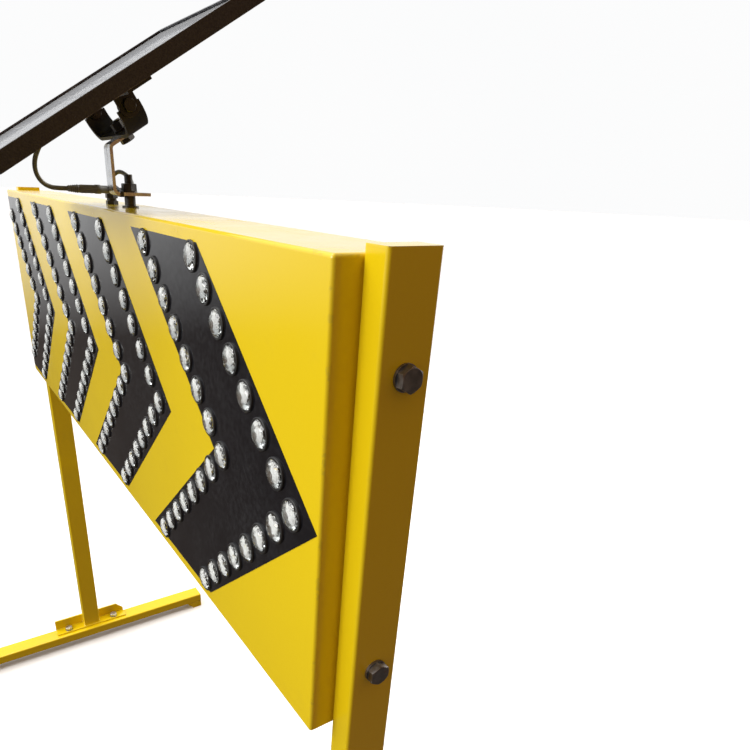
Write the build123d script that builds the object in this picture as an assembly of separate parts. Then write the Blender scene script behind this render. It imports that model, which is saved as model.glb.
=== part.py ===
from build123d import *
import math
import os

# Solar-powered LED arrow board: a flat cabinet with four chevrons of lamps between two posts.
# Millimetres. Origin on the ground, under the middle of the stand. +X runs along the board,
# the way the chevrons point; the lamps face -Y; +Z is up.

os.makedirs("parts", exist_ok=True)

# ---- driving dimensions ----------------------------------------------------------------

# fasteners: M10 bolts hold the posts, feet and solar mount
BOLT10_RADIUS = 5.0
BOLT10_FLATS = 17.0
BOLT10_HEAD = 6.4
BOLT10_NUT = 8.4
BOLT10_WASHER_RADIUS = 10.0
THREAD_GAP = 0.05
THIN_WASHER = 2.0
BOLT_TAIL = 2.0

# cabinet
CAB_LENGTH = 1280.0
CAB_DEPTH = 90.0
CAB_HEIGHT = 400.0
CAB_TOP = 1251.0
SHEET = 1.5
CAB_EDGE_RADIUS = 3.0
CAB_BOTTOM = CAB_TOP - CAB_HEIGHT
CAB_END = CAB_LENGTH / 2
FRONT = -CAB_DEPTH / 2
REAR = CAB_DEPTH / 2

# rear access panel
PANEL_INSET = 15.0
PANEL_SEAM = 1.0
PANEL_END = CAB_END - PANEL_INSET
PANEL_LOW = CAB_BOTTOM + PANEL_INSET
PANEL_HIGH = CAB_TOP - PANEL_INSET
GASKET_THICKNESS = 2.0
GASKET_WIDTH = 28.0
REAR_FRAME_THICKNESS = 3.0
REAR_FRAME_WIDTH = 30.0
PANEL_SCREW_RADIUS = 2.0
PANEL_SCREW_HEAD_RADIUS = 4.0
PANEL_SCREW_HEAD = 2.6
PANEL_SCREW_LENGTH = 11.0
PANEL_SCREW_X = (-613.0, -204.3, 204.3, 613.0)
PANEL_SCREW_Z = (CAB_BOTTOM + 21.0, CAB_TOP - 21.0)

# chevrons and lamps
CHEVRON_COUNT = 4
CHEVRON_PITCH = 306.0
CHEVRON_TIP_X = 637.0
CHEVRON_NOTCH_X = 449.0
CHEVRON_LEAD_X = 425.0
CHEVRON_TRAIL_X = 237.0
CHEVRON_TIP_Z = CAB_TOP - 200.0
CHEVRON_HIGH = CAB_TOP - 13.0
CHEVRON_LOW = CAB_TOP - 387.0
CHEVRON_CLIP_X = -637.0
FILM = 0.3
LAMP_STEPS = 7
LAMP_DX = 26.7
LAMP_DZ = 24.9
LAMP_MID_Z = CAB_TOP - 200.0
LAMP_TRAIL_X = 468.0
LAMP_LEAD_X = 600.0
LAMP_END_MARGIN = 18.0
LAMP_HOLE_RADIUS = 13.2
BEZEL_RADIUS = 14.2
BEZEL_BORE = 12.5
BEZEL_BARREL_RADIUS = 13.1
BEZEL_RISE = 2.0
BEZEL_BARREL_DEPTH = 6.0
LENS_RADIUS = 12.4
LENS_BACK = -1.0
LENS_RIM = 3.0
LENS_CROWN = 6.5
CUP_TOP_RADIUS = 12.0
CUP_BASE_RADIUS = 4.0
CUP_WALL = 0.6
CUP_BACK = -15.5
CUP_FRONT = -1.5
BOARD_FRONT = -18.0
BOARD_THICKNESS = 1.6
BOARD_INSET = 8.0
CHIP_SIDE = 3.5
CHIP_HEIGHT = 1.8
STANDOFF_RADIUS = 3.5
STANDOFF_STEPS = (-6, -2, 2, 6)
STANDOFF_X = (LAMP_TRAIL_X + LAMP_LEAD_X) / 2

# things inside the cabinet
TRAY_X = (-150.0, 430.0)
TRAY_Y = (-23.0, 38.2)
TRAY_LIP = 12.0
BATTERY_X = (262.0, 412.0)
BATTERY_Y = (-20.0, 35.0)
BATTERY_HEIGHT = 94.0
BATTERY_RADIUS = 3.0
STRAP_BAND = 25.0
BAND_THICKNESS = 1.2
CONTROLLER_X = (-130.0, 10.0)
CONTROLLER_Y = (-18.0, 28.0)
CONTROLLER_HEIGHT = 96.0
CONTROLLER_COVER = 4.0
DUCT_X = (-560.0, 560.0)
DUCT_Y = (14.0, 34.0)
DUCT_HEIGHT = 20.0
DUCT_WALL = 1.5

# posts and feet
POST_THICKNESS = 25.0
POST_WIDTH = 45.0
TUBE_WALL = 2.0
TUBE_RADIUS = 3.0
POST_RISE = 6.0
POST_OUT = CAB_END + POST_THICKNESS
END_PLATE = 5.0
END_PLATE_Y = 34.0
END_PLATE_MARGIN = 12.0
POST_BOLT_Z = (CAB_TOP - 76.0, CAB_TOP - 328.0)
FOOT_HEIGHT = 20.0
BAR_HEIGHT = 25.0
BAR_WIDTH = 45.0
BAR_HALF = 345.0
ANGLE_THICKNESS = 4.0
ANGLE_LEG = 32.0
ANGLE_HALF = 100.0
ANGLE_CORNER = 20.0
BAR_TOP = FOOT_HEIGHT + BAR_HEIGHT
BAR_OUT = POST_OUT + ANGLE_THICKNESS
BAR_IN = BAR_OUT - BAR_WIDTH
POST_BASE = BAR_TOP + ANGLE_THICKNESS
TAB_TOP_LENGTH = 45.0
TAB_BASE_LENGTH = 27.0
TAB_RADIUS = 1.5
FOOT_BOLT_X = 650.0
FOOT_BOLT_Y = 66.0

# solar panel mount: a stud on the cabinet, a C-shaped strap that swivels on it, and a yoke
SOLAR_X = 95.0
TILT = 32.0
STUD_RADIUS = 5.0
STUD_LOW = -22.0
STUD_HIGH = 39.0
BASE_WASHER_RADIUS = 10.5
BUSH_RADIUS = 7.0
STRAP_LOW = 14.0
STRAP_THICKNESS = 4.0
STRAP_WIDTH = 26.0
STRAP_REAR = 24.0
STRAP_FRONT = -22.0
STRAP_BEND_Z = 70.0
STRAP_LEG = 52.0
STRAP_BEND_RADIUS = 6.0
RUNNING_GAP = 0.3
YOKE_BOLT_Z = STRAP_BEND_Z - STRAP_FRONT * math.tan(math.radians(TILT))
YOKE_WIDTH = 30.0
YOKE_THICKNESS = 4.0
YOKE_ARM_X = 72.0
YOKE_BASE_W = 4.0
YOKE_BEND_RADIUS = 20.0
PIVOT_W = 30.0
PIVOT_END_RADIUS = 12.0
TILT_BOLT_RADIUS = 4.0
TILT_BOLT_FLATS = 13.0
TILT_BOLT_HEAD = 5.3
TILT_NUT = 6.5
EAR_IN = 74.3
EAR_THICKNESS = 3.0

# solar panel, measured in the tilted frame: X, up the slope, and away from the strap
SOLAR_WIDTH = 300.0
SOLAR_LENGTH = 340.0
SOLAR_BACK_W = 47.0
SOLAR_DEPTH = 17.0
SOLAR_WALL = 2.0
SOLAR_LIP = 1.5
SOLAR_BACK_LIP_WIDTH = 18.0
SOLAR_FRONT_LIP_WIDTH = 8.0
GLASS_THICKNESS = 3.0
CELL_THICKNESS = 0.4
BACKSHEET_THICKNESS = 0.5
CELL_COLUMNS = 4
CELL_ROWS = 9
CELL_GAP = 3.0
CELL_MARGIN = 14.0
RAIL_HALF = 145.0
RAIL_THICKNESS = 3.0
JBOX_X = (18.0, 72.0)
JBOX_A = (24.0, 84.0)
JBOX_DEPTH = 16.0
JBOX_RADIUS = 3.0
JBOX_CABLE_X = 45.0
JBOX_CABLE_W = 53.0
JBOX_GLAND_RADIUS = 4.6
JBOX_GLAND_LENGTH = 3.0

# cables
CABLE_RADIUS = 2.75
CONNECTOR_X = -21.0
CONNECTOR_Z = 20.0
CONNECTOR_PROFILE = [  # distance along the connector, radius
    (0.0, 3.3), (14.0, 4.6), (16.0, 5.0), (34.0, 5.0), (34.5, 5.5), (40.5, 5.5), (41.0, 4.7),
    (50.0, 4.7), (62.0, 3.3),
]
CONNECTOR_Y = -72.0
TIE_Y = -11.5
TIE_WIDTH = 4.0
TIE_THICKNESS = 1.2
GLAND_X = -85.0
GLAND_TOP = 18.0
GLAND_FLATS = 15.0
GLAND_NECK_RADIUS = 6.6
GLAND_BODY_HEIGHT = 5.0
GLAND_CAP_LOW = 8.0
GLAND_CAP_HEIGHT = 6.0
GLAND_DOME = [(GLAND_CAP_LOW, 6.6), (13.5, 6.6), (16.0, 5.6), (GLAND_TOP, 3.6)]
GLAND_THREAD_LENGTH = 9.0
GLAND_NUT = 4.0

# power switch under the cabinet
SWITCH_X = -220.0
SWITCH_Y = 12.0
SWITCH_BUSH_RADIUS = 6.0
SWITCH_BUSH_LENGTH = 11.0
SWITCH_REST = 12.0
SWITCH_PIVOT_Z = CAB_BOTTOM - 3.0
SWITCH_CASE = (26.0, 16.0, 20.0)
SWITCH_NUT_FLATS = 16.0
SWITCH_NUT = 2.5
SWITCH_SOCKET_RADIUS = 3.8
SWITCH_MOUTH_RADIUS = 5.2
LEVER_BALL_RADIUS = 3.4
LEVER_PIN_RADIUS = 1.0
LEVER_PIN_LENGTH = 7.2
LEVER_PROFILE = [(0.0, 1.6), (-8.0, 1.9), (-23.0, 2.9), (-25.8, 2.6), (-27.0, 1.2)]

BASE = (Align.CENTER, Align.CENTER, Align.MIN)
UP = (0, 0, 1)
DOWN = (0, 0, -1)


# ---- helpers ---------------------------------------------------------------------------

def box(x_span, y_span, z_span):
    """A box between the given pairs of limits."""
    spans = (x_span, y_span, z_span)
    centre = [(low + high) / 2 for low, high in spans]
    return Pos(*centre) * Box(*[high - low for low, high in spans])


def frame_at(origin, direction):
    """A place at origin whose own Z runs along direction."""
    return Plane(origin=origin, z_dir=direction).location


def rod(origin, direction, radius, length):
    """A cylinder that starts at origin and runs along direction."""
    return frame_at(origin, direction) * Cylinder(radius, length, align=BASE)


def washer(origin, direction, outer, bore, thickness):
    """A flat ring that starts at origin."""
    ring = Cylinder(outer, thickness, align=BASE) - Cylinder(bore, thickness, align=BASE)
    return frame_at(origin, direction) * ring


def hexagon(origin, direction, flats, height, bore=0.0):
    """A hexagonal head or nut, bevelled at its far end."""
    corner = flats / math.sqrt(3)
    bevel = corner - flats / 2
    blank = Cylinder(corner, height, align=BASE)
    blank = chamfer(blank.edges().group_by(Axis.Z)[-1], bevel * 0.55, bevel * 1.1)
    prism = extrude(RegularPolygon(flats / 2, 6, major_radius=False), height)
    shape = blank & prism
    if bore:
        shape -= Cylinder(bore, height, align=BASE)
    return frame_at(origin, direction) * shape


def hex_bolt(seat, direction, radius, length, flats, head):
    """A bolt whose head rests on seat and whose shank runs along direction."""
    outward = tuple(-value for value in direction)
    return hexagon(seat, outward, flats, head) + rod(seat, direction, radius, length)


def revolved(profile):
    """A solid of revolution about Z from (height, radius) pairs."""
    outline = [(0.0, profile[0][0])]
    outline += [(radius, height) for height, radius in profile]
    outline += [(0.0, profile[-1][0])]
    face = make_face(Polyline(*outline, close=True))
    return revolve(Plane.XZ.location * face, axis=Axis.Z)


def bent_bar(points, bend_radius, width, thickness, across):
    """A flat bar bent along points; across is the direction of its width."""
    path = FilletPolyline(*points, radius=bend_radius)
    start = Plane(origin=path @ 0, x_dir=across, z_dir=path % 0)
    return sweep(start.location * Rectangle(width, thickness), path=path)


def save(node, *shapes):
    """Write a node's solids to its own file."""
    solids = [solid for shape in shapes for solid in shape.solids()]
    export_step(Compound(solids), f"parts/{node}.step")


def both_ends(make):
    """The same shape made for the +X end and the -X end."""
    return [make(1), make(-1)]


# ---- cabinet ---------------------------------------------------------------------------

def on_front(x, z):
    """A place on the cabinet's front face: its own Z points out of the face."""
    return Plane(origin=(x, FRONT, z), x_dir=(1, 0, 0), z_dir=(0, -1, 0)).location


def lamp_points(chevron):
    """The (x, z) of each lamp of a chevron, row by row."""
    shift = (chevron - CHEVRON_COUNT) * CHEVRON_PITCH
    points = []
    for vertex in (LAMP_TRAIL_X, LAMP_LEAD_X):
        for step in range(-LAMP_STEPS, LAMP_STEPS + 1):
            x = vertex + shift - LAMP_DX * abs(step)
            if x > LAMP_END_MARGIN - CAB_END:
                points.append((x, LAMP_MID_Z + LAMP_DZ * step))
    return points


def lamp_places():
    """Every lamp's place on the front face."""
    chevrons = range(1, CHEVRON_COUNT + 1)
    return [on_front(x, z) for chevron in chevrons for x, z in lamp_points(chevron)]


def cabinet_shell():
    """Folded sheet box, open at the back inside a narrow lip."""
    ends = (-CAB_END, CAB_END)
    shell = box(ends, (FRONT, REAR), (CAB_BOTTOM, CAB_TOP))
    shell = fillet(shell.edges(), CAB_EDGE_RADIUS)
    hollow_x = (SHEET - CAB_END, CAB_END - SHEET)
    hollow_y = (FRONT + SHEET, REAR - SHEET)
    shell -= box(hollow_x, hollow_y, (CAB_BOTTOM + SHEET, CAB_TOP - SHEET))
    mouth_x = (-PANEL_END - PANEL_SEAM, PANEL_END + PANEL_SEAM)
    mouth_z = (PANEL_LOW - PANEL_SEAM, PANEL_HIGH + PANEL_SEAM)
    shell -= box(mouth_x, (0, REAR), mouth_z)
    hole = Pos(0, 0, -2 * SHEET) * Cylinder(LAMP_HOLE_RADIUS, 3 * SHEET, align=BASE)
    shell -= [place * hole for place in lamp_places()]
    top = CAB_TOP - 2 * SHEET
    shell -= rod((SOLAR_X, 0, top), (0, 0, 1), STUD_RADIUS + RUNNING_GAP, 3 * SHEET)
    shell -= rod((SOLAR_X + GLAND_X, 0, top), (0, 0, 1), SWITCH_BUSH_RADIUS, 3 * SHEET)
    below = CAB_BOTTOM - SHEET
    shell -= rod((SWITCH_X, SWITCH_Y, below), (0, 0, 1), SWITCH_BUSH_RADIUS, 3 * SHEET)
    for z in POST_BOLT_Z:
        shell -= rod((-CAB_END - SHEET, 0, z), (1, 0, 0), BOLT10_RADIUS + THREAD_GAP,
                     CAB_LENGTH + 2 * SHEET)
    return shell


def ring_inside(y_span, width):
    """A rectangular ring against the inside of the cabinet's walls."""
    x = CAB_END - SHEET
    low = CAB_BOTTOM + SHEET
    high = CAB_TOP - SHEET
    ring = box((-x, x), y_span, (low, high))
    return ring - box((width - x, x - width), y_span, (low + width, high - width))


def panel_holes(shape, radius):
    """The shape with a hole at each panel screw."""
    for x in PANEL_SCREW_X:
        for z in PANEL_SCREW_Z:
            shape -= rod((x, 0, z), (0, 1, 0), radius, CAB_DEPTH)
    return shape


def access_panel():
    """Flat rear cover, flush inside the lip."""
    panel = box((-PANEL_END, PANEL_END), (REAR - SHEET, REAR), (PANEL_LOW, PANEL_HIGH))
    return panel_holes(panel, PANEL_SCREW_RADIUS + RUNNING_GAP)


def access_screws():
    """Pan-head screws with a cross recess."""
    head = Cylinder(PANEL_SCREW_HEAD_RADIUS, PANEL_SCREW_HEAD, align=BASE)
    head = fillet(head.edges().group_by(Axis.Z)[-1], PANEL_SCREW_HEAD / 2)
    for slot in ((4.4, 0.9), (0.9, 4.4)):
        head -= Pos(0, 0, PANEL_SCREW_HEAD) * Box(*slot, PANEL_SCREW_HEAD)
    shank = Pos(0, 0, -PANEL_SCREW_LENGTH) * Cylinder(
        PANEL_SCREW_RADIUS - 0.05, PANEL_SCREW_LENGTH, align=BASE
    )
    screw = head + shank
    places = [frame_at((x, REAR, z), (0, 1, 0)) for x in PANEL_SCREW_X for z in PANEL_SCREW_Z]
    return [place * screw for place in places]


def chevron_face(chevron):
    """The flat outline of a chevron, in (x, z), cut off at the end of the cabinet."""
    shift = (chevron - CHEVRON_COUNT) * CHEVRON_PITCH
    corners = [
        (CHEVRON_TRAIL_X + shift, CHEVRON_HIGH),
        (CHEVRON_LEAD_X + shift, CHEVRON_HIGH),
        (CHEVRON_TIP_X + shift, CHEVRON_TIP_Z),
        (CHEVRON_LEAD_X + shift, CHEVRON_LOW),
        (CHEVRON_TRAIL_X + shift, CHEVRON_LOW),
        (CHEVRON_NOTCH_X + shift, CHEVRON_TIP_Z),
    ]
    return Polygon(*corners, align=None)


def clipped(face, limit):
    """The face without what lies beyond the -X limit."""
    span = 2 * CAB_LENGTH
    return face & Pos(limit + span / 2, CHEVRON_TIP_Z) * Rectangle(span, CAB_LENGTH)


def chevron_film(chevron):
    """Black film on the front face, cut out around the lamps."""
    face = clipped(chevron_face(chevron), CHEVRON_CLIP_X)
    face -= [Pos(x, z) * Circle(LAMP_HOLE_RADIUS) for x, z in lamp_points(chevron)]
    return on_front(0, 0) * extrude(face, FILM, dir=UP)


def lamp_bezel():
    """Flanged ring that clips into the front face."""
    flange = Pos(0, 0, FILM) * Cylinder(BEZEL_RADIUS, BEZEL_RISE, align=BASE)
    flange = fillet(flange.edges().group_by(Axis.Z)[-1], BEZEL_RISE / 3)
    barrel_height = BEZEL_BARREL_DEPTH + FILM
    barrel = Pos(0, 0, -BEZEL_BARREL_DEPTH) * Cylinder(
        BEZEL_BARREL_RADIUS, barrel_height, align=BASE
    )
    bore = Pos(0, 0, -BEZEL_BARREL_DEPTH) * Cylinder(
        BEZEL_BORE, barrel_height + BEZEL_RISE, align=BASE
    )
    return flange + barrel - bore


def lamp_lens():
    """Clear lens with a shallow crown."""
    sides = Polyline((0, LENS_CROWN), (0, LENS_BACK), (LENS_RADIUS, LENS_BACK), (LENS_RADIUS, LENS_RIM))
    rise = LENS_CROWN - LENS_RIM
    crown_radius = (LENS_RADIUS**2 + rise**2) / (2 * rise)
    middle = LENS_RADIUS / 2
    middle_height = LENS_CROWN - crown_radius + math.sqrt(crown_radius**2 - middle**2)
    crown = ThreePointArc((LENS_RADIUS, LENS_RIM), (middle, middle_height), (0, LENS_CROWN))
    face = make_face(sides + crown)
    return revolve(Plane.XZ.location * face, axis=Axis.Z)


def lamp_cup():
    """Thin conical reflector behind the lens."""
    depth = CUP_FRONT - CUP_BACK
    outer = Cone(CUP_BASE_RADIUS, CUP_TOP_RADIUS, depth, align=BASE)
    inner = Cone(CUP_BASE_RADIUS - CUP_WALL, CUP_TOP_RADIUS - CUP_WALL, depth, align=BASE)
    return Pos(0, 0, CUP_BACK) * (outer - inner)


def led_board(chevron):
    """Circuit board behind a chevron."""
    face = offset(clipped(chevron_face(chevron), CHEVRON_CLIP_X), -BOARD_INSET)
    board = Pos(0, 0, BOARD_FRONT - BOARD_THICKNESS) * extrude(face, BOARD_THICKNESS, dir=UP)
    return on_front(0, 0) * board


def board_standoffs():
    """Pillars that hold the boards off the front face."""
    length = -BOARD_FRONT - SHEET
    pillar = Pos(0, 0, BOARD_FRONT) * Cylinder(STANDOFF_RADIUS, length, align=BASE)
    pillars = []
    for chevron in range(1, CHEVRON_COUNT + 1):
        shift = (chevron - CHEVRON_COUNT) * CHEVRON_PITCH
        for step in STANDOFF_STEPS:
            x = STANDOFF_X + shift - LAMP_DX * abs(step)
            pillars.append(on_front(x, LAMP_MID_Z + LAMP_DZ * step) * pillar)
    return pillars


# ---- inside the cabinet ----------------------------------------------------------------

def battery_tray():
    """Folded tray on the cabinet's floor."""
    floor = CAB_BOTTOM + SHEET
    tray = box(TRAY_X, TRAY_Y, (floor, floor + TRAY_LIP))
    inner_y = (TRAY_Y[0] + SHEET, TRAY_Y[1] - SHEET)
    return tray - box(TRAY_X, inner_y, (floor + SHEET, floor + TRAY_LIP))


def battery():
    """Sealed rechargeable battery."""
    low = CAB_BOTTOM + 2 * SHEET
    case = box(BATTERY_X, BATTERY_Y, (low, low + BATTERY_HEIGHT))
    return fillet(case.edges(), BATTERY_RADIUS)


def battery_band():
    """Strap over the battery, down to the tray."""
    low = CAB_BOTTOM + 2 * SHEET
    middle = sum(BATTERY_X) / 2
    x_span = (middle - STRAP_BAND / 2, middle + STRAP_BAND / 2)
    y_span = (BATTERY_Y[0] - BAND_THICKNESS, BATTERY_Y[1] + BAND_THICKNESS)
    top = low + BATTERY_HEIGHT
    return box(x_span, y_span, (low, top + BAND_THICKNESS)) - box(x_span, BATTERY_Y, (low, top))


def controller_case():
    """Charge and lamp controller, on the tray."""
    low = CAB_BOTTOM + 2 * SHEET
    case = box(CONTROLLER_X, CONTROLLER_Y, (low, low + CONTROLLER_HEIGHT))
    return fillet(case.edges(), BATTERY_RADIUS)


def controller_cover():
    """Cover on the controller's rear face."""
    low = CAB_BOTTOM + 2 * SHEET
    x_span = (CONTROLLER_X[0] + BATTERY_RADIUS, CONTROLLER_X[1] - BATTERY_RADIUS)
    z_span = (low + BATTERY_RADIUS, low + CONTROLLER_HEIGHT - BATTERY_RADIUS)
    return box(x_span, (CONTROLLER_Y[1], CONTROLLER_Y[1] + CONTROLLER_COVER), z_span)


def wiring_duct():
    """Open-topped duct for the lamp wiring, under the cabinet's top."""
    high = CAB_TOP - SHEET
    low = high - DUCT_HEIGHT
    inner_y = (DUCT_Y[0] + DUCT_WALL, DUCT_Y[1] - DUCT_WALL)
    return box(DUCT_X, DUCT_Y, (low, high)) - box(DUCT_X, inner_y, (low + DUCT_WALL, high))


# ---- posts and feet --------------------------------------------------------------------

def side_span(side, inner, outer):
    """The X limits between two distances from the middle, on one side."""
    return tuple(sorted((side * inner, side * outer)))


def post(side):
    """Upright tube with a closed top."""
    half = POST_WIDTH / 2
    top = CAB_TOP + POST_RISE
    tube = box(side_span(side, CAB_END, POST_OUT), (-half, half), (POST_BASE, top))
    tube = fillet(tube.edges().filter_by(Axis.Z), TUBE_RADIUS)
    hollow_x = side_span(side, CAB_END + TUBE_WALL, POST_OUT - TUBE_WALL)
    tube -= box(hollow_x, (TUBE_WALL - half, half - TUBE_WALL), (POST_BASE, top - TUBE_WALL))
    for z in POST_BOLT_Z:
        tube -= rod((side * CAB_END, 0, z), (side, 0, 0), BOLT10_RADIUS + THREAD_GAP, POST_THICKNESS)
    return tube


def end_plate(side):
    """Backing plate inside the cabinet for the post bolts."""
    z_span = (CAB_BOTTOM + END_PLATE_MARGIN, CAB_TOP - END_PLATE_MARGIN)
    inner = CAB_END - SHEET - END_PLATE
    plate = box(side_span(side, inner, CAB_END - SHEET), (-END_PLATE_Y, END_PLATE_Y), z_span)
    for z in POST_BOLT_Z:
        plate -= rod((side * inner, 0, z), (side, 0, 0), BOLT10_RADIUS + THREAD_GAP, END_PLATE)
    return plate


def cabinet_bolts(side):
    """Bolts through the post into the cabinet's end."""
    seat = POST_OUT + THIN_WASHER
    length = seat - (CAB_END - SHEET - END_PLATE - BOLT10_NUT - BOLT_TAIL)
    inward = (-side, 0, 0)
    seats = [(side * seat, 0, z) for z in POST_BOLT_Z]
    bolts = [hex_bolt(s, inward, BOLT10_RADIUS, length, BOLT10_FLATS, BOLT10_HEAD) for s in seats]
    return Compound([bolt.solid() for bolt in bolts])


def post_washers(side):
    """Washers under the post bolts' heads."""
    rings = [
        washer((side * POST_OUT, 0, z), (side, 0, 0), BOLT10_WASHER_RADIUS,
               BOLT10_RADIUS + THREAD_GAP, THIN_WASHER)
        for z in POST_BOLT_Z
    ]
    return Compound([ring.solid() for ring in rings])


def cabinet_nuts(side):
    """Nuts inside the cabinet's end."""
    seat = CAB_END - SHEET - END_PLATE
    bore = BOLT10_RADIUS + THREAD_GAP
    nuts = [
        hexagon((side * seat, 0, z), (-side, 0, 0), BOLT10_FLATS, BOLT10_NUT, bore)
        for z in POST_BOLT_Z
    ]
    return Compound([nut.solid() for nut in nuts])


def foot_bar(side):
    """Flat-lying tube across the bottom of a post."""
    bar = box(side_span(side, BAR_IN, BAR_OUT), (-BAR_HALF, BAR_HALF), (FOOT_HEIGHT, BAR_TOP))
    bar = fillet(bar.edges().filter_by(Axis.Y), TUBE_RADIUS)
    hollow_x = side_span(side, BAR_IN + TUBE_WALL, BAR_OUT - TUBE_WALL)
    hollow_y = (TUBE_WALL - BAR_HALF, BAR_HALF - TUBE_WALL)
    bar -= box(hollow_x, hollow_y, (FOOT_HEIGHT + TUBE_WALL, BAR_TOP - TUBE_WALL))
    return foot_bolt_holes(bar, side)


def foot_bolt_holes(shape, side):
    """The shape with the foot's two bolt holes."""
    for y in (-FOOT_BOLT_Y, FOOT_BOLT_Y):
        shape -= rod((side * FOOT_BOLT_X, y, 0), (0, 0, 1), BOLT10_RADIUS + THREAD_GAP, POST_BASE)
    return shape


def foot_tab(side, end):
    """Wedge-shaped pad under one end of a foot bar."""
    outline = [
        (end * BAR_HALF, 0),
        (end * BAR_HALF, FOOT_HEIGHT),
        (end * (BAR_HALF - TAB_TOP_LENGTH), FOOT_HEIGHT),
        (end * (BAR_HALF - TAB_BASE_LENGTH), 0),
    ]
    start = Plane(origin=(side * BAR_OUT, 0, 0), x_dir=(0, 1, 0), z_dir=(1, 0, 0))
    tab = extrude(Polygon(*outline, align=None), BAR_WIDTH, dir=(0, 0, -side))
    tab = start.location * tab
    return fillet(tab.edges().filter_by(Axis.Z), TAB_RADIUS)


def foot_angle(side):
    """Angle that joins a post to its foot bar."""
    leg_x = side_span(side, BAR_OUT - ANGLE_LEG, BAR_OUT)
    y_span = (-ANGLE_HALF, ANGLE_HALF)
    angle = box(leg_x, y_span, (BAR_TOP, POST_BASE))
    wall = box(side_span(side, POST_OUT, BAR_OUT), y_span, (BAR_TOP, BAR_TOP + ANGLE_LEG))
    if side < 0:
        corner = wall.edges().filter_by(Axis.X).group_by(Axis.Z)[-1].sort_by(Axis.Y)[-1]
        wall = chamfer(corner, ANGLE_CORNER)
    return foot_bolt_holes(angle + wall, side)


def foot_bolts(side):
    """Bolts with washers through the angle and the foot bar."""
    shapes = []
    seat = POST_BASE + THIN_WASHER
    length = seat - FOOT_HEIGHT + BOLT10_NUT
    for y in (-FOOT_BOLT_Y, FOOT_BOLT_Y):
        place = (side * FOOT_BOLT_X, y, seat)
        shapes.append(hex_bolt(place, (0, 0, -1), BOLT10_RADIUS, length, BOLT10_FLATS, BOLT10_HEAD))
    return Compound([shape.solid() for shape in shapes])


def foot_washers(side):
    """Washers under the foot bolts' heads."""
    rings = [
        washer((side * FOOT_BOLT_X, y, POST_BASE), (0, 0, 1), BOLT10_WASHER_RADIUS,
               BOLT10_RADIUS + THREAD_GAP, THIN_WASHER)
        for y in (-FOOT_BOLT_Y, FOOT_BOLT_Y)
    ]
    return Compound([ring.solid() for ring in rings])


def foot_nuts(side):
    """Nuts under the foot bar."""
    nuts = [
        hexagon((side * FOOT_BOLT_X, y, FOOT_HEIGHT), (0, 0, -1), BOLT10_FLATS, BOLT10_NUT,
                BOLT10_RADIUS + THREAD_GAP)
        for y in (-FOOT_BOLT_Y, FOOT_BOLT_Y)
    ]
    return Compound([nut.solid() for nut in nuts])


# ---- solar panel mount -----------------------------------------------------------------

SLOPE = (0, math.cos(math.radians(TILT)), math.sin(math.radians(TILT)))
OFF_SLOPE = (0, -SLOPE[2], SLOPE[1])


def above(x, y, z):
    """A point measured from the foot of the stud, on the cabinet's top."""
    return (SOLAR_X + x, y, CAB_TOP + z)


def on_slope(x, a, w):
    """A point in the tilted frame: X, up the slope, and square to it."""
    y = a * SLOPE[1] + w * OFF_SLOPE[1]
    z = a * SLOPE[2] + w * OFF_SLOPE[2]
    return above(x, y, YOKE_BOLT_Z + z)


TILTED = Plane(origin=on_slope(0, 0, 0), x_dir=(1, 0, 0), z_dir=OFF_SLOPE).location


def swivel_stud():
    """Threaded stud through the cabinet's top."""
    return rod(above(0, 0, STUD_LOW), UP, STUD_RADIUS, STUD_HIGH - STUD_LOW)


def swivel_nuts():
    """Nuts on the stud, over the strap and under the cabinet's top."""
    bore = STUD_RADIUS + THREAD_GAP
    over = STRAP_LOW + STRAP_THICKNESS + THIN_WASHER
    upper = hexagon(above(0, 0, over), UP, BOLT10_FLATS, BOLT10_NUT, bore)
    lower = hexagon(above(0, 0, -SHEET - THIN_WASHER), DOWN, BOLT10_FLATS, BOLT10_NUT, bore)
    return [upper, lower]


def swivel_bush():
    """Spacer bush and the washers on the stud."""
    bore = STUD_RADIUS + THREAD_GAP
    bush = washer(above(0, 0, THIN_WASHER), UP, BUSH_RADIUS, bore, STRAP_LOW - THIN_WASHER)
    base = washer(above(0, 0, 0), UP, BASE_WASHER_RADIUS, bore, THIN_WASHER)
    over = above(0, 0, STRAP_LOW + STRAP_THICKNESS)
    upper = washer(over, UP, BOLT10_WASHER_RADIUS, bore, THIN_WASHER)
    lower = washer(above(0, 0, -SHEET - THIN_WASHER), UP, BOLT10_WASHER_RADIUS, bore, THIN_WASHER)
    return [bush, base, upper, lower]


def solar_strap():
    """C-shaped strap: a foot on the stud, a riser in front, and a leg up the slope."""
    foot_z = STRAP_LOW + STRAP_THICKNESS / 2
    leg_end = (0, STRAP_FRONT + STRAP_LEG * SLOPE[1], STRAP_BEND_Z + STRAP_LEG * SLOPE[2])
    points = [
        above(0, STRAP_REAR, foot_z),
        above(0, STRAP_FRONT, foot_z),
        above(0, STRAP_FRONT, STRAP_BEND_Z),
        above(*leg_end),
    ]
    strap = bent_bar(points, STRAP_BEND_RADIUS, STRAP_WIDTH, STRAP_THICKNESS, (1, 0, 0))
    strap -= rod(above(0, 0, STRAP_LOW - 1), UP, STUD_RADIUS + RUNNING_GAP, STRAP_THICKNESS + 2)
    strap -= TILTED * Cylinder(BOLT10_RADIUS + THREAD_GAP, 2 * STRAP_THICKNESS)
    return strap


def pivot_end(x_span):
    """The rounded end of a yoke arm or an ear, around the pivot."""
    middle = sum(x_span) / 2
    thickness = x_span[1] - x_span[0]
    return Pos(middle, 0, PIVOT_W) * Rot(0, 90, 0) * Cylinder(PIVOT_END_RADIUS, thickness)


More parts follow.
